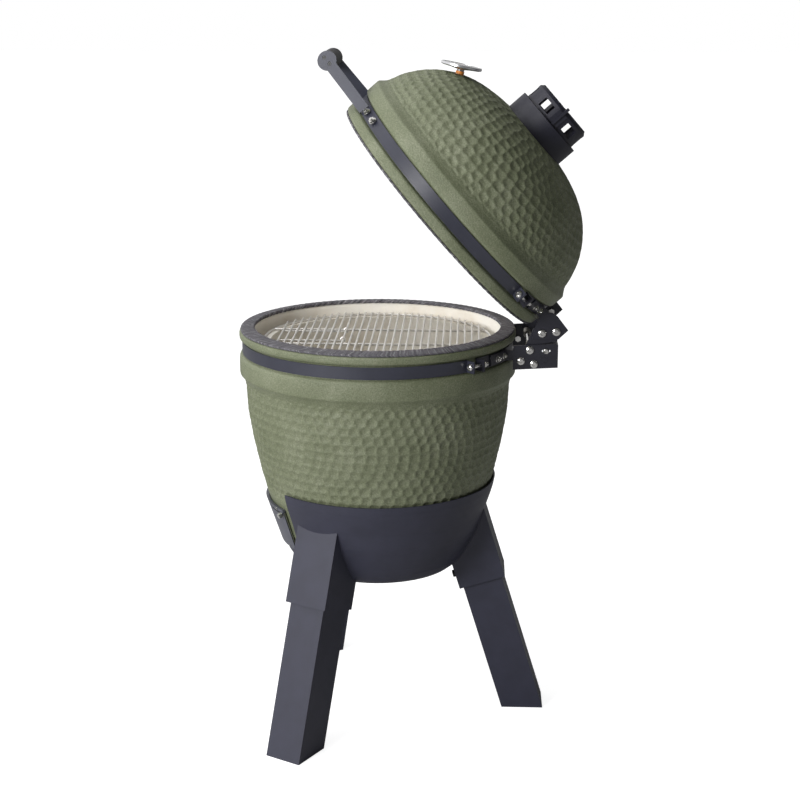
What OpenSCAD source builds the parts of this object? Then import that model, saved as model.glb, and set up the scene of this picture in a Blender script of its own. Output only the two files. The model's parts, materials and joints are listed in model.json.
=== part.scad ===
// Ceramic kamado grill on a three-leg steel stand, lid open.
// Millimetres. +Z up, the front (draft door, handle) faces -Y, the hinge is at +Y.
// The ceramic's vertical axis stands at Y = axis_y, so that the origin is at the
// middle of the footprint of the whole object in its open pose, on the floor.

/* [Pose] */
// Lid opening from closed, degrees
open_angle = 48.7; // [0:0.1:50]
// Height of the lower gasket's top face above the floor
rim_z = 752; // [740:1:765]
// Place of the ceramic's axis along Y
axis_y = -59; // [-90:1:0]

/* [Ceramic shells] */
// Outer radius of both gaskets
gasket_r = 255.4; // [250:0.1:258]
// Inner radius of the ceramic rims
mouth_r = 231; // [225:1:235]
// Thickness of each gasket
gasket_t = 4.2; // [3:0.1:6]
// Inner radius of both gaskets, which overhang the mouth
gasket_in = 228; // [225:1:231]
// How much higher the lower gasket's inner edge stands than its outer edge
tape_rise = 3; // [0:0.5:3.5]
// Radius of the smooth lips
lip_r = 257.2; // [255:0.1:260]
// Radius of the smooth belts
belt_r = 257.6; // [255:0.1:260]
// Radius of the ceramic inside the band grooves
groove_r = 249.3; // [246:0.1:251]
// Radius of the chimney hole in the lid
chimney_r = 52; // [40:1:60]

/* [Bands] */
// Band thickness
band_t = 3; // [2:0.5:4]
// Band height
band_h = 21.8; // [18:0.1:25]
// Bottom of the lower band above the floor
base_band_z = 707.7; // [706:0.1:709]
// Bottom of the upper band above the gasket plane
lid_band_z = 26.4; // [25:0.1:28]
// Azimuth of the bent band ears, measured from the hinge side
ear_az = 48.3; // [46:0.1:52]
// Azimuth of the bracket ears, measured from the hinge side
strap_az = 43; // [40:0.5:44]

/* [Hinge] */
// Hinge axis behind the ceramic's axis
hinge_y = 280; // [275:1:285]
// Hinge axis above the floor
hinge_z = 728; // [724:1:732]
// Outer face of the side plates from the middle plane
plate_x = 97; // [90:1:105]
// Side plate thickness
plate_t = 3; // [2:0.5:4]
// Hinge pin radius
pin_r = 4; // [3:0.5:5]

/* [Stand] */
// Radius of the outer leg faces at the floor
foot_r = 321; // [300:1:340]
// Lean of the legs
leg_lean = 17.17; // [12:0.01:22]
// Leg tube width
leg_w = 73; // [60:1:80]
// Leg tube depth
leg_d = 76; // [60:1:80]
// Leg tube wall
leg_wall = 3; // [2:0.5:4]
// How far the sockets stand out from the tubes
socket_t = 7; // [4:0.5:9]
// Cradle sheet thickness
cradle_t = 3; // [2:0.5:4]
// Half width of the cradle's front cut-out, degrees
cut_half = 43; // [38:0.5:46]

/* [Cooking grate] */
// Height of the grate's cross rods
rod_z = 728.5; // [720:0.5:735]
// Grate outer radius
grate_r = 213; // [208:1:218]
// Bar spacing
bar_pitch = 13.2; // [12:0.1:16]
// Bar radius
bar_r = 1.9; // [1.5:0.1:2.5]
// Cross rod radius
rod_r = 2.2; // [1.8:0.1:3]
// Distance of the flap's hinge bar in front of the ceramic's axis
flap_y = 62; // [50:1:75]

/* [Draft door] */
// Door opening half angle
draft_half = 12; // [10:0.5:14]
// How far the door stands open at rest, degrees
door_open = 24; // [0:1:24]

/* [Vent] */
// Vent collar radius
collar_r = 68.5; // [66:0.5:75]
// Vent cap radius
cap_r = 60; // [58:0.5:64]
// Number of vent windows
windows = 6; // [4:1:6]
// Width of the vent windows
window_w = 26; // [15:1:26]

/* [Hidden] */
$fn = 96;
lid_plane = rim_z + 0.3;
bar_z = rod_z + rod_r + bar_r - 0.3;
flap_bar_z = rod_z + rod_r + bar_r + 0.3;
band_r = groove_r + band_t;
slope = tan(leg_lean);
e = 0.01;

// Outside of the cradle, floor side first
cradle_out = [
    [0, 285], [92, 285], [114, 286.3], [132, 289.5], [146, 295], [156, 303], [165.5, 315],
    [174.5, 330], [182.3, 345], [189.5, 360], [195.8, 375], [200.5, 390], [204.8, 405],
    [210, 420], [215, 435], [219.5, 450], [222.5, 465]
];

// Outside of the lower shell up to the rim
bowl_out = [
    [0, 288], [95, 288], [108, 289.2], [124, 292], [138.5, 297], [149, 304], [158.5, 315],
    [168, 330], [176, 345], [183.2, 360], [189.4, 375], [194.2, 390], [198.6, 405],
    [203.8, 420], [208.7, 435], [213.2, 450], [217.2, 465], [220.7, 476], [226, 500],
    [231.5, 524], [236.2, 548], [240.4, 572], [244, 596], [245.6, 620], [247.2, 646],
    [250, 660], [256, 667.5], [belt_r, 673], [belt_r, 692], [255.6, 703],
    [groove_r + 1, 705], [groove_r, 706.5], [groove_r, 730.8], [groove_r + 1, 732.5],
    [255.4, 734], [lip_r, 736], [lip_r, 745.5], [gasket_r, rim_z - gasket_t]
];

// Inside of the lower shell from the rim down
bowl_in = [
    [mouth_r, rim_z - gasket_t], [mouth_r, 680], [228, 655], [224, 630], [220.5, 600],
    [216, 570], [210, 540], [203, 506], [196, 478], [190, 455], [184.5, 435], [178.5, 414],
    [172, 396], [166, 378], [158, 360], [147, 341], [138, 329], [128, 320.5], [112, 314.5],
    [92, 312], [0, 312]
];

// Outside of the lid above its gasket plane
dome_out = [
    [gasket_r, gasket_t], [lip_r, 6.5], [lip_r, 21.5], [255.4, 23.5], [groove_r + 1, 24.5],
    [groove_r, 26], [groove_r, 48.6], [groove_r + 1, 50], [255.4, 51.5], [belt_r, 55],
    [belt_r, 77], [255.5, 82], [249.5, 88.5], [246.3, 92], [243.5, 103], [238.8, 116.6],
    [232.2, 130.9], [223.7, 145.3], [213.3, 159.4], [201, 172.9], [186.6, 185.5],
    [170.2, 196.8], [151.4, 206.6], [130, 214.7], [105.4, 221], [86, 224.5],
    [76, 226], [chimney_r, 226]
];

// Inside of the lid from the chimney outwards
dome_in = [
    [chimney_r, 205], [85, 203.5], [118, 198], [146, 189.5], [168, 178], [186, 164.5],
    [200, 149], [211, 131], [220, 108], [226, 86], [mouth_r, 62], [mouth_r, gasket_t]
];

// Hinge plates as (Y, Z), lower ones fixed, the others in the open pose
lower_plate = [[250, 691.5], [330, 696], [331, 700], [329.4, 738], [327, 740], [250, 736]];
hinge_arm = [
    [270.5, 732], [286.5, 768], [300, 776], [331, 768], [329.5, 744.5], [303, 740], [289.5, 723.5]
];
upper_plate = [
    [284, 748.5], [288, 768], [294.5, 787], [309.5, 797.5], [320.2, 796.5], [328.8, 790.1],
    [348.4, 765], [331, 748.5]
];

// ---- placing ----------------------------------------------------------------------------

module on_axis() translate([0, axis_y, 0]) children();

// Everything of the lid is drawn closed and swung up here
module swing(a) translate([0, hinge_y, hinge_z]) rotate([-a, 0, 0])
    translate([0, -hinge_y, -hinge_z]) children();

module on_lid() on_axis() swing(open_angle) translate([0, 0, lid_plane]) children();

// Turns a shape drawn on the hinge side (+Y) to an azimuth towards +X
module at_az(a) rotate([0, 0, -a]) children();

module both_sides() {
    children();
    mirror([1, 0, 0]) children();
}

// A flat plate drawn as (Y, Z), from x0 outwards
module side_plate(points, x0, t) translate([x0, 0, 0]) rotate([90, 0, 90])
    linear_extrude(t) polygon(points);

// A button-head screw, its head standing on z = 0 and its shank below
module button(head_r, head_h, shank_r, shank_l) {
    difference() {
        rotate_extrude() polygon([
            [0, 0], [head_r, 0], [head_r * 0.96, head_h * 0.42], [head_r * 0.82, head_h * 0.74],
            [head_r * 0.55, head_h], [0, head_h]
        ]);
        translate([0, 0, head_h * 0.35]) cylinder(r = head_r * 0.42, h = head_h, $fn = 6);
    }
    translate([0, 0, -shank_l]) cylinder(r = shank_r, h = shank_l + head_h * 0.2);
}

module hex_nut(r, h) cylinder(r = r, h = h, $fn = 6);

// ---- stand ------------------------------------------------------------------------------

module bowl_solid(grow) rotate_extrude($fn = 180) polygon(concat(
    [for (p = cradle_out) [p[0] == 0 ? 0 : p[0] + grow, p[0] <= 92 ? p[1] - grow : p[1]]],
    [[230, 500], [0, 500]]
));

module wedge(half, r, z0, z1) translate([0, 0, z0]) linear_extrude(z1 - z0)
    polygon([[0, 0], [-r * sin(half), -r * cos(half)], [r * sin(half), -r * cos(half)]]);

module cradle() color([0.16, 0.17, 0.20]) on_axis() difference() {
    rotate_extrude($fn = 180) polygon(concat(
        cradle_out,
        [for (i = [len(cradle_out) - 1 : -1 : 0]) [
            max(0, cradle_out[i][0] - cradle_t * (cradle_out[i][0] > 0 ? 1 : 0)),
            cradle_out[i][1] < 289 ? 288 : cradle_out[i][1] + (465 - cradle_out[i][1]) * 0.006
        ]]
    ));
    wedge(cut_half, 330, 343, 480);
}

// One leg frame: y = 0 is the outer face of the tube, z runs along the tube
module leg_frame(az) on_axis() at_az(az) translate([0, foot_r, 0]) rotate([leg_lean, 0, 0])
    children();

module socket(az) color([0.17, 0.18, 0.21]) difference() {
    leg_frame(az) difference() {
        translate([-leg_w / 2 - socket_t, -leg_d - socket_t, 284])
            cube([leg_w + 2 * socket_t, leg_d + 2 * socket_t, 190]);
        translate([-leg_w / 2 - 0.2, -leg_d - 0.2, 270])
            cube([leg_w + 0.4, leg_d + 0.4, 42.3]);
        translate([-leg_w / 2 + 8, -leg_d + 8, 300])
            cube([leg_w - 16, leg_d - 16, 200]);
    }
    on_axis() bowl_solid(0.03);
}

module leg(az) color([0.15, 0.16, 0.19]) difference() {
    leg_frame(az) difference() {
        translate([-leg_w / 2, -leg_d, -30]) cube([leg_w, leg_d, 342]);
        translate([-leg_w / 2 + leg_wall, -leg_d + leg_wall, -40])
            cube([leg_w - 2 * leg_wall, leg_d - 2 * leg_wall, 400]);
    }
    translate([-500, -500, -200]) cube([1000, 1000, 200]);
}

module socket_back() socket(0);
module socket_left() socket(240);
module socket_right() socket(120);
module leg_back() leg(0);
module leg_left() leg(240);
module leg_right() leg(120);

// Clamp screws through the inner face of each socket
module leg_bolts() color([0.10, 0.10, 0.11]) for (az = [0, 120, 240]) leg_frame(az)
    translate([0, -leg_d - socket_t, 302]) rotate([90, 0, 0]) {
        cylinder(r = 4, h = 4);
        translate([0, 0, 2]) cylinder(r = 7, h = 7);
    }

// ---- lower shell ------------------------------------------------------------------------

module draft_tunnel(half, z0, z1, r) wedge(half, r, z0, z1);

module base_shell() color([0.42, 0.46, 0.34]) on_axis() difference() {
    rotate_extrude($fn = 180) polygon(concat(bowl_out, bowl_in));
    draft_tunnel(draft_half, 356, 404, 300);
}

module base_gasket() color([0.20, 0.19, 0.21]) on_axis() rotate_extrude($fn = 180) polygon([
    [gasket_in, rim_z - gasket_t], [gasket_r, rim_z - gasket_t], [gasket_r, rim_z],
    [gasket_in, rim_z + tape_rise]
]);

// A flat ring segment on the band radius, between two azimuths on both sides of the hinge
module ring_part(r0, r1, z0, h, az0, az1) {
    n = 24;
    difference() {
        translate([0, 0, z0]) cylinder(r = r1, h = h, $fn = 180);
        translate([0, 0, z0 - 1]) cylinder(r = r0, h = h + 2, $fn = 180);
        translate([0, 0, z0 - 1]) linear_extrude(h + 2) polygon(concat(
            [[0, 0]],
            [for (i = [0 : n]) let (a = az1 + (360 + az0 - az1) * i / n) 400 * [sin(a), cos(a)]]
        ));
    }
}

// A square ear standing out of the band radius, with a hole for the clamp bolt
module ear(az, z) at_az(az) difference() {
    translate([-band_t / 2, groove_r + 0.7, z + 0.4]) cube([band_t, 20.8, band_h - 0.8]);
    translate([-5, groove_r + 13, z + band_h / 2]) rotate([0, 90, 0]) cylinder(r = 3.4, h = 10);
}

module clamp_band(z) {
    ring_part(groove_r, band_r, z, band_h, ear_az, 360 - ear_az);
    both_sides() ear(ear_az, z);
}

// The bolt that pulls a band ear to a bracket ear, lying along the chord between them
module clamp_bolt(z) {
    mid = (ear_az + strap_az) / 2;
    at_az(mid) translate([0, (groove_r + 13) * cos((ear_az - strap_az) / 2), z + band_h / 2])
        rotate([0, 90, 0]) {
            l = (groove_r + 13) * sin((ear_az - strap_az) / 2);
            translate([0, 0, -l - 16]) cylinder(r = 3, h = 2 * l + 21);
            translate([0, 0, l + 2.4]) button(6.5, 4, 3, 3);
            translate([0, 0, -l - 8.8]) hex_nut(6.2, 5.2);
            translate([0, 0, -l - 3.6]) cylinder(r = 6.8, h = 1.3);
        }
}

module base_band() color([0.15, 0.16, 0.20]) on_axis() clamp_band(base_band_z);
module base_clamp_bolts() color([0.75, 0.74, 0.72]) on_axis() both_sides()
    clamp_bolt(base_band_z);

// ---- hinge ------------------------------------------------------------------------------

// Curved strap in the groove with its two ears and the stud flanges of the side plates
module strap(z) {
    difference() {
        translate([0, 0, z]) cylinder(r = band_r, h = band_h, $fn = 180);
        translate([0, 0, z - 1]) cylinder(r = groove_r, h = band_h + 2, $fn = 180);
        translate([-400, -400, z - 2]) cube([800, 500, band_h + 4]);
        both_sides() at_az(strap_az) translate([0, 0, z - 2]) cube([400, 400, band_h + 4]);
    }
    both_sides() {
        ear(strap_az, z);
        ring_flange(z);
    }
}

module ring_flange(z) difference() {
    translate([0, 0, z + 1]) cylinder(r = band_r + 3, h = band_h - 2, $fn = 180);
    translate([0, 0, z - 1]) cylinder(r = band_r - 0.3, h = band_h + 2, $fn = 180);
    at_az(20.6) translate([-400, -400, z - 2]) cube([400, 800, band_h + 4]);
    at_az(34.8) translate([0, -400, z - 2]) cube([400, 800, band_h + 4]);
    translate([-400, -800, z - 2]) cube([800, 800, band_h + 4]);
}

// Nuts on studs that stand out of a flange or tab on the band
module studs(azimuths, z) for (a = azimuths) at_az(a)
    translate([0, band_r + 3, z + band_h / 2]) rotate([-90, 0, 0]) {
        hex_nut(6, 4.6);
        cylinder(r = 3, h = 7.5);
        cylinder(r = 6.6, h = 1.2);
    }

// Short neck that joins a side plate to the strap
module neck(y0, y1, z) translate([plate_x - plate_t + 0.2, y0, z])
    cube([plate_t - 0.4, y1 - y0, band_h - 3]);

module side_holes(points, r) for (p = points)
    translate([80, p[0], p[1]]) rotate([0, 90, 0]) cylinder(r = r, h = 30);

module lower_bracket() color([0.10, 0.11, 0.15]) on_axis() {
    strap(base_band_z);
    both_sides() difference() {
        union() {
            side_plate(lower_plate, plate_x - plate_t, plate_t);
            neck(232.4, 251, base_band_z + 1);
        }
        side_holes([[hinge_y, hinge_z]], pin_r + 0.02);
        side_holes([[264.3, 707.7], [287.8, 702.4]], 3.02);
        for (y = [304 : 1 : 315]) side_holes([[y, 726.7]], 2.3);
    }
    both_sides() translate([plate_x - 0.2, 305.7, 710.9]) rotate([0, 90, 0]) difference() {
        cylinder(r = 6.6, h = 0.8);
        translate([0, 0, -0.5]) cylinder(r = 5.2, h = 3);
    }
    translate([-plate_x, 328, 696]) cube([2 * plate_x, 3, 42]);
}

// One long pin through both side plates and both hinge arms
module hinge_pin() color([0.78, 0.77, 0.75]) on_axis() translate([0, hinge_y, hinge_z])
    rotate([0, 90, 0]) {
        translate([0, 0, -plate_x]) cylinder(r = pin_r, h = 2 * plate_x);
        translate([0, 0, plate_x]) button(7.8, 4.2, pin_r, 4);
        translate([0, 0, -plate_x]) mirror([0, 0, 1]) button(7.8, 4.2, pin_r, 4);
    }

module plate_bolt(y, z, head, nut, shank) translate([plate_x, y, z]) rotate([0, 90, 0]) {
    button(head, 4, shank, nut);
    translate([0, 0, -nut]) hex_nut(6, nut - plate_t - 0.01);
}

module lower_bolts() color([0.78, 0.77, 0.75]) on_axis() both_sides() {
    plate_bolt(264.3, 707.7, 7.6, 8, 3);
    plate_bolt(287.8, 702.4, 7.6, 8, 3);
    studs([24, 30], base_band_z);
}

module slot_bolts() color([0.78, 0.77, 0.75]) on_axis() both_sides()
    plate_bolt(309.6, 726.7, 5.6, 8, 2.2);

// Closed coils around the pin, each with a leg on the back plate
module hinge_springs() color([0.70, 0.69, 0.66]) on_axis() both_sides() {
    translate([42, hinge_y, hinge_z]) rotate([0, 90, 0]) rotate_extrude() polygon(concat(
        [for (i = [0 : 9]) for (a = [-60, -30, 0, 30, 60]) [5.8 + 1.5 * cos(a), 3 * i + 1.5 * sin(a)]],
        [[4.4, 28.2], [4.4, -1.2]]
    ));
    translate([69, hinge_y, hinge_z - 5.8]) rotate([-78, 0, 0]) cylinder(r = 1.5, h = 46);
}

// ---- draft door -------------------------------------------------------------------------

// Curved strip that follows the bowl's wall, between two heights, standing g off it
module wall_strip(z0, z1, g, t, half, turn) rotate([0, 0, turn]) intersection() {
    rotate_extrude($fn = 180) polygon([
        [wall_r(z0) + g, z0], [wall_r(z0) + g + t, z0], [wall_r(z1) + g + t, z1], [wall_r(z1) + g, z1]
    ]);
    wedge(half, 330, z0 - 5, z1 + 5);
}

// The draft frame and door run on one cone that follows the bowl's wall
function wall_r(z) = 179.6 + (z - 345) * 0.335;
wall_lean = atan(0.335);

module draft_frame() color([0.22, 0.23, 0.27]) on_axis() {
    difference() {
        union() {
            wall_strip(346, 429, 4.6, 1.6, 37.5, 0);
            wall_strip(346, 352, 0.6, 4.6, 37.5, 0);
            wall_strip(423, 429, 0.6, 4.6, 37.5, 0);
        }
        draft_tunnel(draft_half, 354, 406, 300);
        // Slot for the knob's stem
        rotate([0, 0, 24.2]) wedge(12.8, 300, 417.9, 421.9);
    }
}

module draft_screws() color([0.78, 0.77, 0.75]) on_axis() for (s = [-1, 1]) for (z = [349, 426])
    at_az(180 + s * 31) translate([0, wall_r(z) + 6.25, z]) rotate([-90 - wall_lean, 0, 0])
        cylinder(r = 2.4, h = 1.3);

module door_turn() rotate([0, 0, door_open]) children();

module draft_door() color([0.70, 0.70, 0.69]) on_axis() door_turn()
    wall_strip(352.6, 422.4, 2.2, 1.5, 13.4, 0);

module draft_knob() color([0.75, 0.75, 0.74]) on_axis() door_turn()
    at_az(180 - 12.2) translate([0, wall_r(420.6) + 3.95, 420.6]) rotate([-90 - wall_lean, 0, 0]) {
        cylinder(r = 1.1, h = 6);
        translate([0, 0, 4.6]) cylinder(r = 5, h = 7);
    }

// ---- inside the lower shell -------------------------------------------------------------

module fire_box() color([0.84, 0.79, 0.69]) on_axis() difference() {
    rotate_extrude($fn = 120) polygon([
        [0, 312], [84, 312], [104, 322], [126, 336], [146, 360], [160, 396], [174, 435],
        [186, 478], [195, 520], [201, 556], [186, 556], [180, 520], [171, 478], [160, 440],
        [150, 412], [144, 393], [133, 393], [124, 372], [106, 346], [84, 334], [0, 334]
    ]);
    draft_tunnel(11, 346, 386, 260);
    for (a = [0 : 30 : 330]) at_az(a) translate([0, 0, 450]) rotate([-90, 0, 0])
        cylinder(r = 9, h = 260);
}

module charcoal_grate() color([0.13, 0.13, 0.13]) on_axis() difference() {
    translate([0, 0, 393]) cylinder(r = 142, h = 8);
    for (r = [28, 60, 92, 120]) for (i = [0 : floor(r / 7) - 1])
        rotate([0, 0, i * 360 / floor(r / 7)]) translate([r, 0, 390]) cylinder(r = 8, h = 14, $fn = 32);
    translate([0, 0, 390]) cylinder(r = 8, h = 14, $fn = 32);
}

module fire_ring() color([0.86, 0.81, 0.71]) on_axis() rotate_extrude($fn = 120) polygon([
    [188, 556], [201, 556], [207, 580], [211, 620], [214, 680], [215.5, rod_z - rod_r],
    [199.5, rod_z - rod_r], [198, 680], [195, 620], [190, 580]
]);

module rod_x(y, z, half, r) translate([-half, y, z]) rotate([0, 90, 0]) cylinder(r = r, h = 2 * half, $fn = 24);
module rod_y(x, y0, y1, z, r) translate([x, y0, z]) rotate([-90, 0, 0]) cylinder(r = r, h = y1 - y0, $fn = 24);

module cooking_grate() color([0.80, 0.80, 0.78]) on_axis() {
    rotate_extrude($fn = 120) translate([grate_r - rod_r, rod_z]) circle(r = rod_r, $fn = 24);
    for (x = [-62.5, 62.5]) {
        l = sqrt(pow(grate_r - rod_r, 2) - x * x);
        rod_y(x, -l, l, rod_z, rod_r);
    }
    for (i = [0 : 19]) {
        y = -flap_y + i * bar_pitch;
        rod_x(y, bar_z, sqrt(grate_r * grate_r - y * y) - 0.4, bar_r);
    }
}

module grate_flap() color([0.80, 0.80, 0.78]) on_axis() {
    for (i = [1 : 9]) {
        y = -flap_y - i * bar_pitch;
        rod_x(y, flap_bar_z, sqrt(grate_r * grate_r - y * y) - 0.4, bar_r);
    }
    for (x = [-40, 40]) {
        rod_y(x, -flap_y - 9 * bar_pitch - 3, -flap_y - 2.9, flap_bar_z - 3.1, 1.6);
        translate([x, -flap_y, bar_z]) rotate([0, 90, 0]) rotate_extrude()
            translate([3.85, 0]) circle(r = 1.85, $fn = 24);
    }
}

// ---- lid --------------------------------------------------------------------------------

module lid_shell() color([0.42, 0.46, 0.34]) on_lid() difference() {
    rotate_extrude($fn = 180) polygon(concat(dome_out, dome_in));
    gauge_place() translate([0, 0, -60]) cylinder(r = 6, h = 90);
    gauge_place() translate([0, 0, -2.1]) cylinder(r = 7.8, h = 30);
}

// Its face is parallel to the lower gasket's when the lid is shut
module lid_gasket() color([0.20, 0.19, 0.21]) on_lid() rotate_extrude($fn = 180) polygon([
    [gasket_in, tape_rise], [gasket_r, 0], [gasket_r, gasket_t], [gasket_in, gasket_t]
]);

module lid_band() color([0.15, 0.16, 0.20]) on_lid() clamp_band(lid_band_z);
module lid_clamp_bolts() color([0.75, 0.74, 0.72]) on_lid() both_sides()
    clamp_bolt(lid_band_z);

// The plates are measured in the open pose, so they are not swung
module upper_bracket() color([0.10, 0.11, 0.15]) {
    on_lid() strap(lid_band_z);
    both_sides() difference() {
        union() {
            on_axis() side_plate(upper_plate, plate_x - plate_t, plate_t);
            on_lid() neck(232.4, 252, lid_band_z + 1);
        }
        on_axis() side_holes([[301.4, 759.1], [326.8, 762.1]], 3.02);
    }
}

module hinge_arms() color([0.12, 0.13, 0.17]) on_axis() both_sides() difference() {
    union() {
        side_plate(hinge_arm, plate_x - 2 * plate_t - 0.5, plate_t);
        translate([plate_x - 2 * plate_t - 0.5, hinge_y, hinge_z]) rotate([0, 90, 0])
            cylinder(r = 10.5, h = plate_t);
        side_plate([[286.5, 768], [300, 776], [331, 768], [331, 750], [284, 750]],
            plate_x - plate_t - 0.5 - e, 0.5 + e);
    }
    side_holes([[hinge_y, hinge_z]], pin_r + 0.05);
    side_holes([[301.4, 759.1], [326.8, 762.1]], 3.02);
}

module arm_bolts() color([0.78, 0.77, 0.75]) {
    on_axis() both_sides() for (p = [[301.4, 759.1], [326.8, 762.1]])
        translate([plate_x, p[0], p[1]]) rotate([0, 90, 0]) {
            button(7.8, 4.2, 3, 12);
            translate([0, 0, -12]) hex_nut(6, 12 - 2 * plate_t - 0.5);
        }
    on_lid() both_sides() studs([24, 30], lid_band_z);
}

// Bright wire hooks of the lid springs over the upper bracket
module spring_hooks() color([0.75, 0.73, 0.66]) on_axis() both_sides() {
    translate([plate_x - plate_t - 7.5, 0, 0]) {
        translate([0, 300, 786]) rotate([0, 90, 0]) rotate_extrude($fn = 48)
            translate([6, 0]) circle(r = 1.5, $fn = 24);
        translate([0, 305.5, 789]) rotate([-70, 0, 0]) cylinder(r = 1.5, h = 16, $fn = 24);
    }
    translate([plate_x - plate_t - 9.5, 300, 786]) rotate([0, 90, 0]) cylinder(r = 4.6, h = 9.5);
}

// ---- handle -----------------------------------------------------------------------------

head_x = 62;
head_y = -342;
head_h = 38.6;
foot_x = 90;
foot_y = -236;
foot_h = 34.4;

arm_yaw = atan2(foot_x - head_x, foot_y - head_y);
arm_len = norm([foot_x - head_x, foot_y - head_y]);
arm_pitch = atan2(foot_h - head_h, arm_len);

// x = 0 is the inner face of the arm's round head, y runs along the arm
module head_frame() translate([head_x, head_y, head_h]) rotate([0, 0, -arm_yaw])
    rotate([arm_pitch, 0, 0]) children();

module head_holes(r, x0, len) for (s = [-1, 1]) translate([x0, 7.2 * s, 0.5 * s])
    rotate([0, 90, 0]) cylinder(r = r, h = len);

// One arm: a round head, a flat arm that splays to the band, and a tab on the band
module handle_arm() {
    head_frame() difference() {
        union() {
            rotate([0, 90, 0]) cylinder(r = 17.3, h = 3.5);
            translate([0, 0, -10]) cube([3.5, arm_len - 0.2, 20]);
        }
        head_holes(3.7, -1, 8);
    }
    difference() {
        translate([0, 0, lid_band_z + 0.6]) cylinder(r = band_r + 3, h = band_h - 1.2, $fn = 180);
        translate([0, 0, lid_band_z - 1]) cylinder(r = band_r, h = band_h + 2, $fn = 180);
        at_az(180 - 38) translate([0, 0, lid_band_z - 2]) rotate([0, 0, 90]) cube([400, 400, 40]);
        translate([-400, 0, lid_band_z - 2]) cube([800, 400, 40]);
        at_az(180 - 20.4) translate([-400, -400, lid_band_z - 2]) cube([400, 800, 40]);
        at_az(180 - 38) translate([0, -400, lid_band_z - 2]) cube([400, 800, 40]);
    }
}

module handle_arm_right() color([0.22, 0.23, 0.28]) on_lid() handle_arm();
module handle_arm_left() color([0.22, 0.23, 0.28]) on_lid() mirror([1, 0, 0]) handle_arm();

module handle_grip() color([0.07, 0.06, 0.06]) on_lid() difference() {
    translate([0, head_y, head_h]) rotate([0, 90, 0])
        cylinder(r = 16.8, h = 2 * head_x + 14, center = true);
    both_sides() head_frame() {
        translate([-0.03, -50, -50]) cube(100);
        head_holes(3.65, -4.1, 6);
    }
}

module grip_screws() color([0.05, 0.05, 0.05]) on_lid() both_sides() head_frame()
    head_holes(3.6, -4, 7);

module handle_bolts() color([0.80, 0.79, 0.77]) on_lid() both_sides()
    studs([180 - 25.5, 180 - 33.5], lid_band_z);

// ---- thermometer ------------------------------------------------------------------------

// z = 0 is the dome's surface at the gauge
module gauge_place() translate([0, -170.5, 196.6]) rotate([36, 0, 0]) children();

module gauge_gland() color([0.85, 0.42, 0.10]) on_lid() gauge_place() difference() {
    union() {
        translate([0, 0, -2]) cylinder(r = 7.6, h = 6.4);
        translate([0, 0, -26]) cylinder(r = 5.8, h = 25);
    }
    translate([0, 0, -30]) cylinder(r = 3.05, h = 60);
}

module gauge_probe() color([0.75, 0.75, 0.74]) on_lid() gauge_place() translate([0, 0, -62])
    cylinder(r = 3, h = 66);

module gauge_case() color([0.80, 0.80, 0.80]) on_lid() gauge_place() translate([0, 0, 4.4])
    rotate_extrude($fn = 120) polygon([
        [0, 0.02], [6.5, 0.02], [7, 3], [20, 5], [34, 6.2], [36.6, 7], [37.2, 8.2], [37.2, 11.4],
        [36.2, 12.2], [34.4, 12.2], [34.2, 9.4], [0, 9.4]
    ]);

module gauge_dial() color([0.92, 0.92, 0.90]) on_lid() gauge_place() translate([0, 0, 13.8])
    cylinder(r = 33.6, h = 0.5);

module gauge_needle() color([0.75, 0.10, 0.08]) on_lid() gauge_place() translate([0, 0, 14.35])
    union() {
        cylinder(r = 2.2, h = 0.6, $fn = 32);
        rotate([0, 0, 118]) linear_extrude(0.5) polygon([[-1.1, -6], [1.1, -6], [0.35, 27], [-0.35, 27]]);
    }

module gauge_glass() color([0.9, 0.93, 0.95, 0.35]) on_lid() gauge_place()
    translate([0, 0, 15.3]) cylinder(r = 34.1, h = 0.9);

// ---- top vent ---------------------------------------------------------------------------

module vent_windows(r, h0, h1) for (i = [0 : windows - 1])
    at_az(90 + (i + 0.5) * 360 / windows) translate([-window_w / 2, 0, h0]) cube([window_w, r, h1 - h0]);

// Collar over the chimney hole with the fixed windowed sleeve that the cap turns on
module vent_collar() color([0.12, 0.12, 0.16]) on_lid() difference() {
    union() {
        difference() {
            translate([0, 0, 226]) cylinder(r = collar_r, h = 36.4);
            translate([0, 0, 225]) cylinder(r = 62, h = 32);
        }
        translate([0, 0, 255]) cylinder(r = cap_r - 5.4, h = 34);
        translate([0, 0, 226]) cylinder(r = 64, h = 3);
    }
    translate([0, 0, 220]) cylinder(r = cap_r - 9.4, h = 80);
    vent_windows(80, 266, 300);
}

// The top is solid, so the sleeve shuts every opening when the cap is turned half a pitch
module vent_cap() color([0.11, 0.11, 0.15]) on_lid() {
    difference() {
        union() {
            translate([0, 0, 262.9]) cylinder(r = cap_r, h = 29.6);
            translate([0, 0, 292.4]) cylinder(r1 = cap_r, r2 = cap_r - 4.2, h = 4.4);
        }
        translate([0, 0, 260]) cylinder(r = cap_r - 5.1, h = 30);
        vent_windows(80, 268.4, 286.5);
    }
    for (i = [0 : 23]) at_az(i * 15 + 7.5) translate([-1.6, 24, 296]) cube([3.2, 31.5, 2.4]);
    translate([0, 0, 296]) cylinder(r = 12, h = 2.4);
    // Finger fin on a raised panel between two windows
    at_az(90) {
        translate([-10, cap_r - 4.5, 265]) cube([20, 6, 26]);
        translate([-2.4, cap_r - 4.5, 264.5]) cube([4.8, 9.5, 39]);
    }
}

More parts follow.
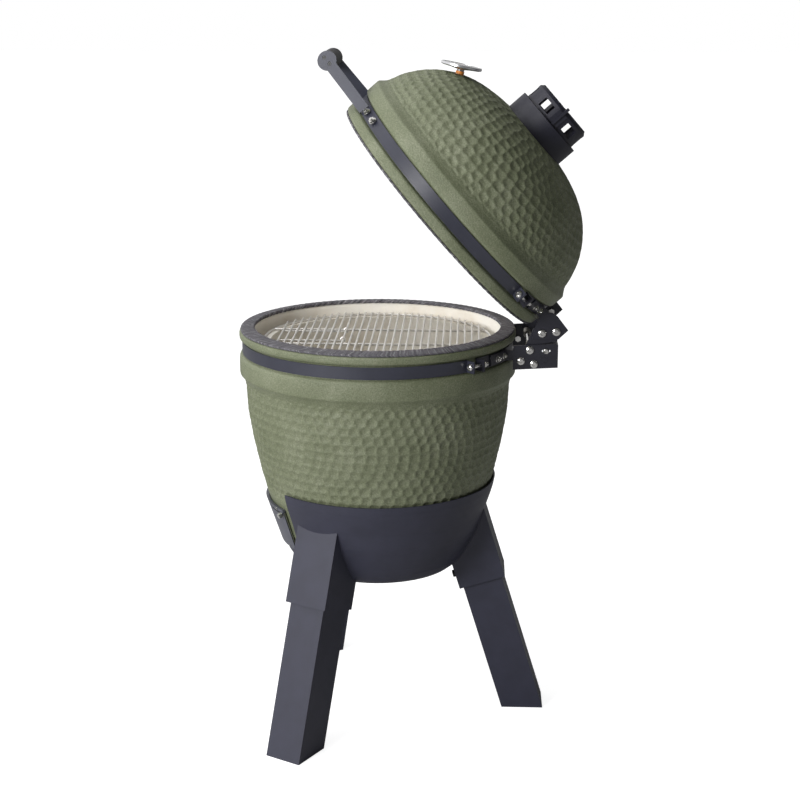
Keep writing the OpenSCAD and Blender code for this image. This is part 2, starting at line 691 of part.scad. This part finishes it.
cradle();
socket_back();
socket_left();
socket_right();
leg_back();
leg_left();
leg_right();
leg_bolts();
base_shell();
base_gasket();
base_band();
base_clamp_bolts();
lower_bracket();
hinge_pin();
lower_bolts();
slot_bolts();
hinge_springs();
draft_frame();
draft_screws();
draft_door();
draft_knob();
fire_box();
fire_ring();
charcoal_grate();
cooking_grate();
grate_flap();
lid_shell();
lid_gasket();
lid_band();
lid_clamp_bolts();
upper_bracket();
hinge_arms();
arm_bolts();
spring_hooks();
handle_arm_left();
handle_arm_right();
handle_grip();
grip_screws();
handle_bolts();
gauge_case();
gauge_dial();
gauge_needle();
gauge_glass();
gauge_gland();
gauge_probe();
vent_collar();
vent_cap();
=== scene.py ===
"""Looks of the ceramic kamado grill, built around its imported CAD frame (metres, Z up)."""

import json
import math
import random

import bpy
import numpy as np
from mathutils import Matrix, Vector, kdtree


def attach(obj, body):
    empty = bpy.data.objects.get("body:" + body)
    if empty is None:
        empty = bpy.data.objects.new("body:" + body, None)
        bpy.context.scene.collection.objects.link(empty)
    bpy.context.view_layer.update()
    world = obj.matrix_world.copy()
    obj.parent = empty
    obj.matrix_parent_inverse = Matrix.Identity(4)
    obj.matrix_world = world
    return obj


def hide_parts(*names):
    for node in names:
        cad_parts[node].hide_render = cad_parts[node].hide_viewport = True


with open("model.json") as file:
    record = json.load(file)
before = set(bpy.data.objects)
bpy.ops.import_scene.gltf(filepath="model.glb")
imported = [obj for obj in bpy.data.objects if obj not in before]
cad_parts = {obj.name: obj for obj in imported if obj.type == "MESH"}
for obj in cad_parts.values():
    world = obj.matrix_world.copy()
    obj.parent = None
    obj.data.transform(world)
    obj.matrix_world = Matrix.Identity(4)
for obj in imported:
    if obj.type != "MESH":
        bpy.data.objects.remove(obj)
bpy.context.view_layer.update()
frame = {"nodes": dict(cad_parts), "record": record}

MM = 0.001

# ---- places taken from the CAD part ------------------------------------------------------

AXIS_Y = -59.0  # the ceramic's vertical axis
RIM_Z = 752.0  # top face of the lower gasket
LID_PLANE = RIM_Z + 0.3
HINGE_Y = 280.0  # behind the ceramic's axis
HINGE_Z = 728.0
OPEN_ANGLE = math.radians(48.7)
MOUTH_R = 231.0
GASKET_R = 255.4
GASKET_T = 4.2
GROOVE_R = 249.3
BELT_R = 257.4
LIP_R = 257.2
CHIMNEY_R = 52.0
MIDDLE_R = 243.0  # where the glazed skin meets the bare inside

BASE_PLACE = Matrix.Translation((0, AXIS_Y * MM, 0))
LID_PLACE = (
    Matrix.Translation((0, (AXIS_Y + HINGE_Y) * MM, HINGE_Z * MM))
    @ Matrix.Rotation(-OPEN_ANGLE, 4, "X")
    @ Matrix.Translation((0, -HINGE_Y * MM, (LID_PLANE - HINGE_Z) * MM))
)

# ---- profiles, radius and height in millimetres ------------------------------------------

BOWL_FOOT = [
    (95, 288), (108, 289.2), (124, 292), (138.5, 297), (149, 304), (158.5, 315), (168, 330),
    (176, 345), (183.2, 360), (189.4, 375), (194.2, 390), (198.6, 405), (203.8, 420),
    (208.7, 435), (213.2, 450),
]
BOWL_DIMPLED = [
    (213.2, 450), (217.2, 465), (220.7, 476), (226, 500), (231.5, 524), (236.2, 548),
    (240.4, 572), (244, 596), (245.6, 620), (247.2, 646), (249.2, 657),
]
BOWL_BELT = [
    (250.4, 661), (252.6, 664), (255.2, 667.3), (256.9, 669), (BELT_R, 671.6),
    (BELT_R, 690.5), (BELT_R - 0.3, 696), (256.6, 700.4), (255.2, 703.2), (253.4, 704.6),
    (GROOVE_R + 1, 705.2), (GROOVE_R, 706.5), (GROOVE_R, 730.8), (GROOVE_R + 1, 732.2),
    (253.6, 733), (255.8, 734.4), (256.9, 736.4), (LIP_R, 739), (LIP_R, 743.4),
    (256.8, 745.6), (255.4, 747.1), (253.6, RIM_Z - GASKET_T),
]
BOWL_MIDDLE = [
    (MIDDLE_R, RIM_Z - GASKET_T), (MIDDLE_R, 700), (238, 640), (231, 580), (215, 500),
    (195, 425), (170, 360), (140, 316), (110, 301), (0, 300),
]
BOWL_INSIDE = [
    (MOUTH_R + 3, RIM_Z - GASKET_T), (MOUTH_R + 0.8, 747), (MOUTH_R, 744.6), (MOUTH_R, 680),
    (228, 655), (224, 630), (220.5, 600), (216, 570), (210, 540), (203, 506), (196, 478),
    (190, 455), (184.5, 435), (178.5, 414), (172, 396), (166, 378), (158, 360), (147, 341),
    (138, 329), (128, 320.5), (112, 314.5), (92, 312), (0, 312),
]
DOME_LIP = [
    (253.6, GASKET_T), (255.4, 4.9), (256.8, 6.4), (LIP_R, 8.6), (LIP_R, 19), (256.8, 21.4),
    (255.6, 23), (253.6, 24.1), (GROOVE_R + 1, 24.8), (GROOVE_R, 26), (GROOVE_R, 48.6),
    (GROOVE_R + 1, 49.8), (253.6, 50.6), (256, 52), (257.2, 54.2), (BELT_R, 57),
    (BELT_R, 76), (256.9, 78.6), (255.4, 80.4), (252.4, 83.8), (249.6, 87.2),
    (247.6, 90),
]
DOME_DIMPLED = [
    (246.6, 92), (243.5, 103), (238.8, 116.6), (232.2, 130.9), (223.7, 145.3), (213.3, 159.4),
    (201, 172.9), (186.6, 185.5), (170.2, 196.8), (151.4, 206.6), (130, 214.7), (105.4, 221),
    (86, 224.5), (74, 225.8),
]
DOME_TOP = [(CHIMNEY_R, 225.8)]
DOME_MIDDLE = [
    (CHIMNEY_R, 215), (85, 213.5), (120, 207), (148, 197), (172, 186), (192, 173), (208, 155),
    (222, 133), (233, 108), (239, 86), (MIDDLE_R, 62), (MIDDLE_R, GASKET_T),
]
DOME_INSIDE = [
    (CHIMNEY_R, 205), (85, 203.5), (118, 198), (146, 189.5), (168, 178), (186, 164.5),
    (200, 149), (211, 131), (220, 108), (226, 86), (MOUTH_R, 62), (MOUTH_R, 7.4),
    (MOUTH_R + 0.8, 5), (MOUTH_R + 3, GASKET_T),
]

DIMPLE_PITCH = 19.5
DIMPLE_DEPTH = 2.8
DIMPLE_SHARES = (0.75, 1.15)  # range of one dimple's depth, as a share of the full depth
DIMPLE_JITTER = 1.6  # how far a dimple's centre strays from its even place
DIMPLE_FADE = 3.0  # the field rises to the plain surface over this length at both ends
DIMPLE_POWER = 2.6  # higher makes flatter floors and steeper sides
FIRST_ROW = 0.3  # the first row's centres lie this share of a row before the field
RIDGE_DEPTH = 0.25  # how far the ridges between the dimples lie under the outline
DIMPLE_STEP = 2.3  # mesh spacing where the shells are dimpled
SHELL_COLUMNS = 660
INSIDE_COLUMNS = 200
FOOT_STEP = 14  # mesh spacing of the bowl's hidden foot
CURVE_STEPS = 24  # samples between two profile points before they are evened out

DRAFT_LOW = 356.0
DRAFT_HIGH = 404.0
DRAFT_HALF_ANGLE = math.radians(12)
DRAFT_REACH = 300.0  # the cutter ends outside the bowl


# ---- materials ---------------------------------------------------------------------------


def node(tree, kind, **values):
    """A new node of the given kind, with its properties set."""
    n = tree.nodes.new(kind)
    for key, value in values.items():
        setattr(n, key, value)
    return n


def calculate(tree, operation, *values):
    """Result of a math node whose inputs are other nodes' outputs or plain numbers."""
    n = node(tree, "ShaderNodeMath", operation=operation)
    for socket, value in zip(n.inputs, values):
        if isinstance(value, (int, float)):
            socket.default_value = value
        else:
            tree.links.new(value, socket)
    return n.outputs["Value"]


def ramp(tree, factor, stops):
    """Colour ramp from (position, colour) stops, driven by factor."""
    n = node(tree, "ShaderNodeValToRGB")
    while len(n.color_ramp.elements) < len(stops):
        n.color_ramp.elements.new(0.5)
    for element, (position, colour) in zip(n.color_ramp.elements, stops):
        element.position = position
        element.color = (*colour, 1)
    tree.links.new(factor, n.inputs["Fac"])
    return n.outputs["Color"]


def noise(tree, vector, scale, detail=3.0, rough=0.55):
    """Value of a noise texture at the given coordinates."""
    n = node(tree, "ShaderNodeTexNoise")
    n.inputs["Scale"].default_value = scale
    n.inputs["Detail"].default_value = detail
    n.inputs["Roughness"].default_value = rough
    tree.links.new(vector, n.inputs["Vector"])
    return n.outputs["Fac"]


def start(name, rough, metallic=0.0, coat=0.0):
    """A new material: its tree, its shader and the object coordinates."""
    m = bpy.data.materials.new(name)
    m.use_nodes = True
    tree = m.node_tree
    shader = tree.nodes["Principled BSDF"]
    shader.inputs["Roughness"].default_value = rough
    shader.inputs["Metallic"].default_value = metallic
    shader.inputs["Coat Weight"].default_value = coat
    shader.inputs["Coat Roughness"].default_value = 0.25
    return m, tree, shader, node(tree, "ShaderNodeTexCoord").outputs["Object"]


def bump(tree, shader, height, distance, strength=1.0):
    """Raises the shader's surface by the height value, over the distance in metres."""
    n = node(tree, "ShaderNodeBump")
    n.inputs["Distance"].default_value = distance
    n.inputs["Strength"].default_value = strength
    tree.links.new(height, n.inputs["Height"])
    tree.links.new(n.outputs["Normal"], shader.inputs["Normal"])


def plain(name, colour, rough, metallic=0.0, coat=0.0, grain=900.0, relief=0.00008, spread=0.1):
    """Paint, plastic or metal: a slightly uneven colour and a fine grain."""
    m, tree, shader, place = start(name, rough, metallic, coat)
    low = [c * (1 - spread) for c in colour]
    high = [c * (1 + spread) for c in colour]
    patches = noise(tree, place, scale=25.0, detail=4.0)
    tree.links.new(ramp(tree, patches, [(0.3, low), (0.7, high)]), shader.inputs["Base Color"])
    bump(tree, shader, noise(tree, place, grain, detail=2.0), relief)
    return m


def glaze(name):
    """Olive glaze: fine light and dark specks, faint clouds and an orange-peel skin."""
    m, tree, shader, place = start(name, rough=0.5)
    speck = noise(tree, place, scale=420.0, detail=3.0, rough=0.7)
    cloud = noise(tree, place, scale=14.0, detail=4.0)
    speck_share, cloud_share = 0.9, 0.35
    faint = calculate(tree, "MULTIPLY", cloud, cloud_share)
    mix = calculate(tree, "MULTIPLY_ADD", speck, speck_share, faint)
    stops = [
        (0.42, (0.105, 0.122, 0.066)),
        (0.62, (0.172, 0.192, 0.112)),
        (0.84, (0.275, 0.292, 0.205)),
    ]
    tree.links.new(ramp(tree, mix, stops), shader.inputs["Base Color"])
    peel = noise(tree, place, scale=380.0, detail=3.0, rough=0.7)
    bump(tree, shader, peel, distance=0.0014, strength=0.9)
    return m


def bare_ceramic(name):
    """Unglazed cream ceramic with faint brown clouds and a sandy face."""
    m, tree, shader, place = start(name, rough=0.85)
    cloud = noise(tree, place, scale=7.0, detail=5.0)
    stops = [(0.30, (0.74, 0.67, 0.56)), (0.46, (0.87, 0.83, 0.75)), (0.70, (0.91, 0.89, 0.84))]
    tree.links.new(ramp(tree, cloud, stops), shader.inputs["Base Color"])
    sand = noise(tree, place, scale=500.0)
    bump(tree, shader, sand, distance=0.0003, strength=0.6)
    return m


def woven(name):
    """Grey felt tape: slanting threads run round the ring, with lighter worn streaks."""
    m, tree, shader, _ = start(name, rough=0.95)
    place = node(tree, "ShaderNodeAttribute", attribute_name="drawn").outputs["Vector"]
    split = node(tree, "ShaderNodeSeparateXYZ")
    tree.links.new(place, split.inputs["Vector"])
    angle = calculate(tree, "ARCTAN2", split.outputs["Y"], split.outputs["X"])
    length = node(tree, "ShaderNodeVectorMath", operation="LENGTH")
    tree.links.new(place, length.inputs[0])
    radius = length.outputs["Value"]
    slant = 5.0  # radians of turn per metre of radius
    thread = node(tree, "ShaderNodeCombineXYZ")
    tree.links.new(calculate(tree, "MULTIPLY_ADD", radius, slant, angle), thread.inputs["X"])
    tree.links.new(radius, thread.inputs["Y"])
    streaks = noise(tree, thread.outputs["Vector"], scale=48.0, detail=3.0, rough=0.7)
    stops = [
        (0.36, (0.05, 0.05, 0.056)),
        (0.52, (0.125, 0.12, 0.135)),
        (0.66, (0.30, 0.29, 0.31)),
    ]
    tree.links.new(ramp(tree, streaks, stops), shader.inputs["Base Color"])
    fibres = noise(tree, place, scale=700.0, detail=3.0, rough=0.7)
    bump(tree, shader, fibres, distance=0.0009, strength=0.8)
    return m


def clear_glass(name):
    """Clear glass with a barely visible tint."""
    m, tree, shader, place = start(name, rough=0.03)
    shader.inputs["Transmission Weight"].default_value = 1.0
    shader.inputs["IOR"].default_value = 1.45
    tint = ramp(tree, noise(tree, place, scale=40.0), [(0.0, (0.97, 0.98, 0.98)), (1.0, (1, 1, 1))])
    tree.links.new(tint, shader.inputs["Base Color"])
    return m


MATERIALS = {
    "steel_paint": plain("steel_paint", (0.031, 0.032, 0.054), 0.5),
    "band_paint": plain("band_paint", (0.034, 0.036, 0.054), 0.36, coat=0.15),
    "bracket_paint": plain("bracket_paint", (0.017, 0.017, 0.026), 0.38),
    "handle_paint": plain("handle_paint", (0.055, 0.058, 0.082), 0.42),
    "black_screws": plain("black_screws", (0.008, 0.008, 0.009), 0.35),
    "glazed_ceramic": glaze("glazed_ceramic"),
    "raw_ceramic": bare_ceramic("raw_ceramic"),
    "gasket": woven("gasket"),
    "bolts": plain("bolts", (0.76, 0.75, 0.73), 0.2, 1.0, relief=0.00003),
    "spring_steel": plain("spring_steel", (0.30, 0.29, 0.27), 0.4, 1.0, relief=0.00003),
    "door_frame": plain("door_frame", (0.085, 0.088, 0.112), 0.4),
    "door_steel": plain("door_steel", (0.62, 0.62, 0.61), 0.3, 1.0, relief=0.00003),
    "cast_iron": plain("cast_iron", (0.030, 0.029, 0.030), 0.7, grain=500.0, relief=0.0004),
    "grate_steel": plain("grate_steel", (0.80, 0.78, 0.75), 0.36, 0.65, relief=0.00003),
    "grip": plain("grip", (0.012, 0.010, 0.012), 0.6, grain=400.0, relief=0.0001),
    "gauge_chrome": plain("gauge_chrome", (0.74, 0.74, 0.76), 0.28, 1.0, relief=0.00002),
    "gauge_face": plain("gauge_face", (0.86, 0.86, 0.84), 0.5, spread=0.02),
    "gauge_needle": plain("gauge_needle", (0.55, 0.03, 0.02), 0.4),
    "gauge_glass": clear_glass("gauge_glass"),
    "gauge_gland": plain("gauge_gland", (0.84, 0.30, 0.06), 0.55),
    "vent_iron": plain("vent_iron", (0.010, 0.010, 0.022), 0.52, grain=500.0, relief=0.0003),
}

for part in frame["record"]["subparts"]:
    slots = frame["nodes"][part["node"]].data.materials
    slots.clear()
    slots.append(MATERIALS[part["material_slot"]])


# ---- shells ------------------------------------------------------------------------------


def smooth_line(points, step):
    """A Catmull-Rom curve through the points, resampled at about the given step."""
    p = np.array(points, float)
    padded = np.vstack([2 * p[0] - p[1], p, 2 * p[-1] - p[-2]])
    dense = []
    for i in range(len(p) - 1):
        a, b, c, d = padded[i : i + 4]
        t = np.linspace(0, 1, CURVE_STEPS, endpoint=False)[:, None]
        dense.append(
            0.5
            * (2 * b + (c - a) * t + (2 * a - 5 * b + 4 * c - d) * t**2
               + (3 * b - a - 3 * c + d) * t**3)
        )
    dense = np.vstack(dense + [p[-1:]])
    run = np.concatenate([[0], np.cumsum(np.linalg.norm(np.diff(dense, axis=0), axis=1))])
    count = max(2, round(run[-1] / step))
    at = np.linspace(0, run[-1], count + 1)
    return np.stack([np.interp(at, run, dense[:, k]) for k in (0, 1)], axis=1)


def mesh_piece(name, verts, faces, place, body, slot, *replaced):
    """A smooth-shaded mesh in millimetres, placed, riding on its body and painted.

    The unplaced position is kept as the attribute "drawn", for patterns that go round the axis.
    """
    mesh = bpy.data.meshes.new(name)
    mesh.from_pydata((np.asarray(verts) * MM).tolist(), [], faces)
    drawn = mesh.attributes.new("drawn", "FLOAT_VECTOR", "POINT")
    drawn.data.foreach_set("vector", (np.asarray(verts) * MM).ravel())
    mesh.transform(place)
    mesh.polygons.foreach_set("use_smooth", [True] * len(mesh.polygons))
    mesh.update()
    mesh.materials.append(MATERIALS[slot])
    piece = bpy.data.objects.new(name, mesh)
    bpy.context.scene.collection.objects.link(piece)
    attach(piece, body)
    if replaced:
        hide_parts(*replaced)
    return piece


def revolve(profile, columns):
    """Vertex grid (row, column, xyz) of a profile turned about Z."""
    turn = np.linspace(0, 2 * math.pi, columns, endpoint=False)
    p = np.asarray(profile, float)
    return np.stack(
        [
            p[:, :1] * np.sin(turn)[None],
            p[:, :1] * np.cos(turn)[None],
            np.repeat(p[:, 1:], columns, axis=1),
        ],
        axis=2,
    )


def ring_faces(rows, columns, closed):
    """Quads of a grid that wraps round its columns, and round its rows when closed."""
    faces = []
    for i in range(rows if closed else rows - 1):
        a, b = i * columns, (i + 1) % rows * columns
        for j in range(columns):
            k = (j + 1) % columns
            faces.append((a + j, a + k, b + k, b + j))
    return faces


def add_pole(verts, faces, height, row, columns, up):
    """Closes the grid's given row with a fan to a point on the axis."""
    verts.append((0.0, 0.0, height))
    tip = len(verts) - 1
    for j in range(columns):
        a, b = row * columns + j, row * columns + (j + 1) % columns
        faces.append((a, b, tip) if up else (b, a, tip))


def dimple(grid, first, last, seed):
    """Presses a field of hammered hollows into grid rows first to last."""
    rng = random.Random(seed)
    line = grid[first : last + 1, 0]
    run = np.concatenate([[0], np.cumsum(np.linalg.norm(np.diff(line, axis=0), axis=1))])
    radii = np.hypot(line[:, 0], line[:, 1])
    pitch_up = DIMPLE_PITCH * math.sqrt(3) / 2
    seeds = []
    for i in range(int(run[-1] / pitch_up) + 2):
        s = (i - FIRST_ROW) * pitch_up
        s0 = min(max(s, 0), run[-1])
        r, z = np.interp(s0, run, radii), np.interp(s0, run, line[:, 2])
        count = max(6, round(2 * math.pi * r / DIMPLE_PITCH))
        shift = rng.random()
        for j in range(count):
            a = 2 * math.pi * (j + shift) / count + rng.uniform(-1, 1) * DIMPLE_JITTER / r
            near = s + rng.uniform(-1, 1) * DIMPLE_JITTER
            near0 = min(max(near, 0), run[-1])
            rr, zz = np.interp(near0, run, radii), np.interp(near0, run, line[:, 2])
            share = rng.uniform(*DIMPLE_SHARES)
            seeds.append((rr * math.sin(a), rr * math.cos(a), zz, share))
    tree = kdtree.KDTree(len(seeds))
    for index, s in enumerate(seeds):
        tree.insert(s[:3], index)
    tree.balance()
    rows = last - first + 1
    sunk = np.zeros((rows, grid.shape[1]))
    for i in range(rows):
        for j in range(grid.shape[1]):
            (_, index, near), (_, _, far) = tree.find_n(grid[first + i, j], 2)
            edge = 2 * near / (near + far)
            sunk[i, j] = (1 - edge**DIMPLE_POWER) * seeds[index][3]
    fade = np.clip(np.minimum(run, run[-1] - run) / DIMPLE_FADE, 0, 1)
    sunk = (sunk * DIMPLE_DEPTH + RIDGE_DEPTH) * fade[:, None]
    along = np.gradient(grid[first : last + 1], axis=0)
    across = np.roll(grid[first : last + 1], -1, axis=1) - grid[first : last + 1]
    normal = np.cross(along, across)
    normal /= np.linalg.norm(normal, axis=2, keepdims=True)
    outward = grid[first : last + 1] * (1, 1, 0)
    flip = np.sign(np.sum(normal * outward, axis=2, keepdims=True))
    grid[first : last + 1] -= normal * flip * sunk[:, :, None]


def glazed_bowl():
    """The bowl's dimpled and belted outside, closed by the middle of its wall."""
    foot = smooth_line(BOWL_FOOT, FOOT_STEP)
    field = smooth_line(BOWL_DIMPLED, DIMPLE_STEP)
    profile = np.vstack([foot[:-1], field, BOWL_BELT, BOWL_MIDDLE[:-1]])
    grid = revolve(profile, SHELL_COLUMNS)
    dimple(grid, len(foot) - 1, len(foot) + len(field) - 2, seed=11)
    verts = grid.reshape(-1, 3).tolist()
    faces = ring_faces(len(profile), SHELL_COLUMNS, False)
    add_pole(verts, faces, BOWL_FOOT[0][1], 0, SHELL_COLUMNS, False)
    add_pole(verts, faces, BOWL_MIDDLE[-1][1], len(profile) - 1, SHELL_COLUMNS, True)
    return verts, faces


def bare_bowl():
    """The bowl's unglazed inside, closed by the middle of its wall."""
    columns = INSIDE_COLUMNS
    profile = np.array(BOWL_INSIDE[:-1] + BOWL_MIDDLE[-2::-1], float)
    grid = revolve(profile, columns)
    inner = len(BOWL_INSIDE) - 1
    top, under = grid[:inner], grid[inner:]
    verts = np.concatenate([top, under]).reshape(-1, 3).tolist()
    faces = []
    for start_row, rows in ((0, inner), (inner, len(under))):
        for quad in ring_faces(rows, columns, False):
            faces.append(tuple(start_row * columns + v for v in quad))
    last = len(profile) - 1
    for j in range(columns):
        k = (j + 1) % columns
        faces.append((last * columns + j, last * columns + k, k, j))
    add_pole(verts, faces, BOWL_INSIDE[-1][1], inner - 1, columns, True)
    add_pole(verts, faces, BOWL_MIDDLE[-1][1], inner, columns, False)
    return verts, faces


def glazed_dome():
    """The lid's dimpled outside with its belt and lip, closed by the middle of its wall."""
    field = smooth_line(DOME_DIMPLED, DIMPLE_STEP)
    profile = np.vstack([DOME_LIP, field, DOME_TOP, DOME_MIDDLE])
    grid = revolve(profile, SHELL_COLUMNS)
    dimple(grid, len(DOME_LIP), len(DOME_LIP) + len(field) - 1, seed=23)
    return grid.reshape(-1, 3).tolist(), ring_faces(len(profile), SHELL_COLUMNS, True)


def bare_dome():
    """The lid's unglazed inside, closed by the middle of its wall."""
    columns = INSIDE_COLUMNS
    profile = np.array(DOME_INSIDE + DOME_MIDDLE[::-1], float)
    grid = revolve(profile, columns)
    return grid.reshape(-1, 3).tolist(), ring_faces(len(profile), columns, True)


def cut_draft_opening(piece):
    """Cuts the draft door's opening through a bowl piece, front (-Y) side."""
    aside = DRAFT_REACH * math.sin(DRAFT_HALF_ANGLE)
    ahead = DRAFT_REACH * math.cos(DRAFT_HALF_ANGLE)
    corners = [(0, 0), (-aside, -ahead), (aside, -ahead)]
    verts = [(x * MM, y * MM, z * MM) for z in (DRAFT_LOW, DRAFT_HIGH) for x, y in corners]
    faces = [(2, 1, 0), (3, 4, 5), (0, 1, 4, 3), (1, 2, 5, 4), (2, 0, 3, 5)]
    mesh = bpy.data.meshes.new("cutter")
    mesh.from_pydata(verts, [], faces)
    cutter = bpy.data.objects.new("cutter", mesh)
    bpy.context.scene.collection.objects.link(cutter)
    cutter.matrix_world = BASE_PLACE
    modifier = piece.modifiers.new("opening", "BOOLEAN")
    modifier.operation = "DIFFERENCE"
    modifier.object = cutter
    bpy.context.view_layer.update()
    cut = bpy.data.meshes.new_from_object(
        piece.evaluated_get(bpy.context.evaluated_depsgraph_get())
    )
    piece.modifiers.clear()
    piece.data = cut
    bpy.data.objects.remove(cutter)


bowl_skin = mesh_piece(
    "bowl_skin", *glazed_bowl(), BASE_PLACE, "stand", "glazed_ceramic", "base_shell"
)
bowl_inside = mesh_piece(
    "bowl_inside", *bare_bowl(), BASE_PLACE, "stand", "raw_ceramic", "base_shell"
)
cut_draft_opening(bowl_skin)
cut_draft_opening(bowl_inside)
mesh_piece("dome_skin", *glazed_dome(), LID_PLACE, "lid", "glazed_ceramic", "lid_shell")
mesh_piece("dome_inside", *bare_dome(), LID_PLACE, "lid", "raw_ceramic", "lid_shell")


# ---- gaskets -----------------------------------------------------------------------------

GASKET_COLUMNS = 720
GASKET_IN = 228.0  # the tapes overhang the mouth
TAPE_RISE = 3.0  # how much higher the two meeting faces stand at their inner edge
EDGE = 1.4  # rounding of the tape's edges
FLAT_ROWS = 7
TAPE_INSET = 0.22  # the faces lie this far inside the CAD's outline before ribbing
RIB_COUNT = 120
RIB_SLANT = 0.55  # phase of the ribs in radians per millimetre of radius
RIB_DEPTH = 0.22
RIB_SHARE = 0.9  # share of the ribs' depth that is pressed in
WAVES = (9, 17, 31)  # waves round the ring that the edges follow
WAVE_HEIGHTS = (0.05, 0.12)
WAVE_PHASES = (0, 6)
FLAT_START = 0.08  # the face's rows of vertices, as shares of its width
FLAT_STEP = 0.12


def tape(z0, z1, low_rise, high_rise, seed):
    """A felt ring from height z0 to z1 with rounded, slightly wavy edges.

    low_rise and high_rise say how much higher its two faces stand at the inner edge.
    """
    rng = np.random.default_rng(seed)
    inner, outer = GASKET_IN + 0.6, GASKET_R - 0.4
    section = []
    for cr, cz, first in (
        (outer - EDGE, z0 + EDGE, -90), (outer - EDGE, z1 - EDGE, 0),
        (inner + EDGE, z1 - EDGE, 90), (inner + EDGE, z0 + EDGE, 180),
    ):
        for step in range(4):
            a = math.radians(first + 30 * step)
            section.append((cr + EDGE * math.cos(a), cz + EDGE * math.sin(a)))
        if first in (0, 180):
            low, high = (inner, outer) if first == 180 else (outer, inner)
            for k in range(1, FLAT_ROWS + 1):
                across = FLAT_START + FLAT_STEP * k
                section.append((low + (high - low) * across, section[-1][1]))
    grid = revolve(section, GASKET_COLUMNS)
    turn = np.linspace(0, 2 * math.pi, GASKET_COLUMNS, endpoint=False)
    radius = np.hypot(grid[:, :, 0], grid[:, :, 1])
    ribs = RIB_DEPTH * np.sin(RIB_COUNT * turn[None] + radius * RIB_SLANT)
    wave = sum(
        rng.uniform(*WAVE_HEIGHTS) * np.sin(k * turn + rng.uniform(*WAVE_PHASES)) for k in WAVES
    )
    middle = (z0 + z1) / 2
    side = np.sign(grid[:, :, 2] - middle)
    grid[:, :, 2] -= side * (TAPE_INSET + ribs * RIB_SHARE)
    height = (grid[:, :, 2] - z0) / (z1 - z0)
    inward = (outer - radius) / (GASKET_R - GASKET_IN)
    grid[:, :, 2] += inward * (low_rise * (1 - height) + high_rise * height)
    scale = 1 + (wave[None] * np.where(radius > (inner + outer) / 2, -1, 1)) / radius
    grid[:, :, 0] *= scale
    grid[:, :, 1] *= scale
    return grid.reshape(-1, 3).tolist(), ring_faces(len(section), GASKET_COLUMNS, True)


base_tape = tape(RIM_Z - GASKET_T, RIM_Z, low_rise=0, high_rise=TAPE_RISE, seed=5)
lid_tape = tape(0, GASKET_T, low_rise=TAPE_RISE, high_rise=0, seed=8)
mesh_piece("base_tape", *base_tape, BASE_PLACE, "stand", "gasket", "base_gasket")
mesh_piece("lid_tape", *lid_tape, LID_PLACE, "lid", "gasket", "lid_gasket")


# ---- floor, light and camera -------------------------------------------------------------

FLOOR_HALF = 30
FLOOR_GLOW = 0.85  # added only where the camera sees the floor
SKY_TOWARDS = (-0.25, -0.75, 0.0)  # the sky is brighter on this side
SKY_LEVEL = 0.35
SKY_LEAST = 0.10

floor_corners = [
    (-FLOOR_HALF, -FLOOR_HALF, 0), (FLOOR_HALF, -FLOOR_HALF, 0),
    (FLOOR_HALF, FLOOR_HALF, 0), (-FLOOR_HALF, FLOOR_HALF, 0),
]
floor_mesh = bpy.data.meshes.new("floor")
floor_mesh.from_pydata(floor_corners, [], [(0, 1, 2, 3)])
floor = bpy.data.objects.new("floor", floor_mesh)
bpy.context.scene.collection.objects.link(floor)
white = plain("floor_white", (0.55, 0.55, 0.55), rough=0.9, spread=0.01)
paper = white.node_tree.nodes["Principled BSDF"]
paper.inputs["Emission Color"].default_value = (1, 1, 1, 1)
seen = node(white.node_tree, "ShaderNodeLightPath").outputs["Is Camera Ray"]
glow = calculate(white.node_tree, "MULTIPLY", seen, FLOOR_GLOW)
white.node_tree.links.new(glow, paper.inputs["Emission Strength"])
floor_mesh.materials.append(white)

# The sky lights the object unevenly, but the camera sees it as plain white
world = bpy.data.worlds.new("studio")
world.use_nodes = True
sky = world.node_tree
direction = node(sky, "ShaderNodeTexCoord").outputs["Generated"]
slope = node(sky, "ShaderNodeVectorMath", operation="DOT_PRODUCT")
sky.links.new(direction, slope.inputs[0])
slope.inputs[1].default_value = SKY_TOWARDS
level = calculate(sky, "ADD", slope.outputs["Value"], SKY_LEVEL)
least = calculate(sky, "MAXIMUM", level, SKY_LEAST)
backdrop = node(sky, "ShaderNodeLightPath").outputs["Is Camera Ray"]
most = calculate(sky, "MAXIMUM", least, backdrop)
sky.links.new(most, sky.nodes["Background"].inputs["Strength"])
sky.nodes["Background"].inputs["Color"].default_value = (1, 1, 1, 1)
bpy.context.scene.world = world
bpy.context.scene.view_settings.view_transform = "Standard"


def area_light(name, place, aim, size, power):
    """A square light at a place, turned to an aim."""
    data = bpy.data.lights.new(name, "AREA")
    data.size = size
    data.energy = power
    light = bpy.data.objects.new(name, data)
    light.location = place
    light.rotation_mode = "QUATERNION"
    light.rotation_quaternion = (Vector(aim) - Vector(place)).to_track_quat("-Z", "Y")
    bpy.context.scene.collection.objects.link(light)


area_light("key", (2.7, -2.2, 1.7), aim=(0, 0, 0.6), size=1.2, power=88)
area_light("top", (0.2, -0.9, 3.2), aim=(0, 0, 0.7), size=1.0, power=19)

CAMERA_LENS = 72.53
CAMERA_PLACE = (2.9397, 0.1109, 1.3716)
CAMERA_AHEAD = (-0.99905, -0.04362, 0)
CAMERA_DOWN = math.radians(14.556)

camera_data = bpy.data.cameras.new("camera")
camera_data.lens = CAMERA_LENS
camera_data.sensor_width = 36
camera = bpy.data.objects.new("camera", camera_data)
camera.location = CAMERA_PLACE
ahead = Vector(CAMERA_AHEAD).normalized()
look = ahead * math.cos(CAMERA_DOWN) - Vector((0, 0, math.sin(CAMERA_DOWN)))
camera.rotation_mode = "QUATERNION"
camera.rotation_quaternion = look.to_track_quat("-Z", "Y")
bpy.context.scene.collection.objects.link(camera)
bpy.context.scene.camera = camera
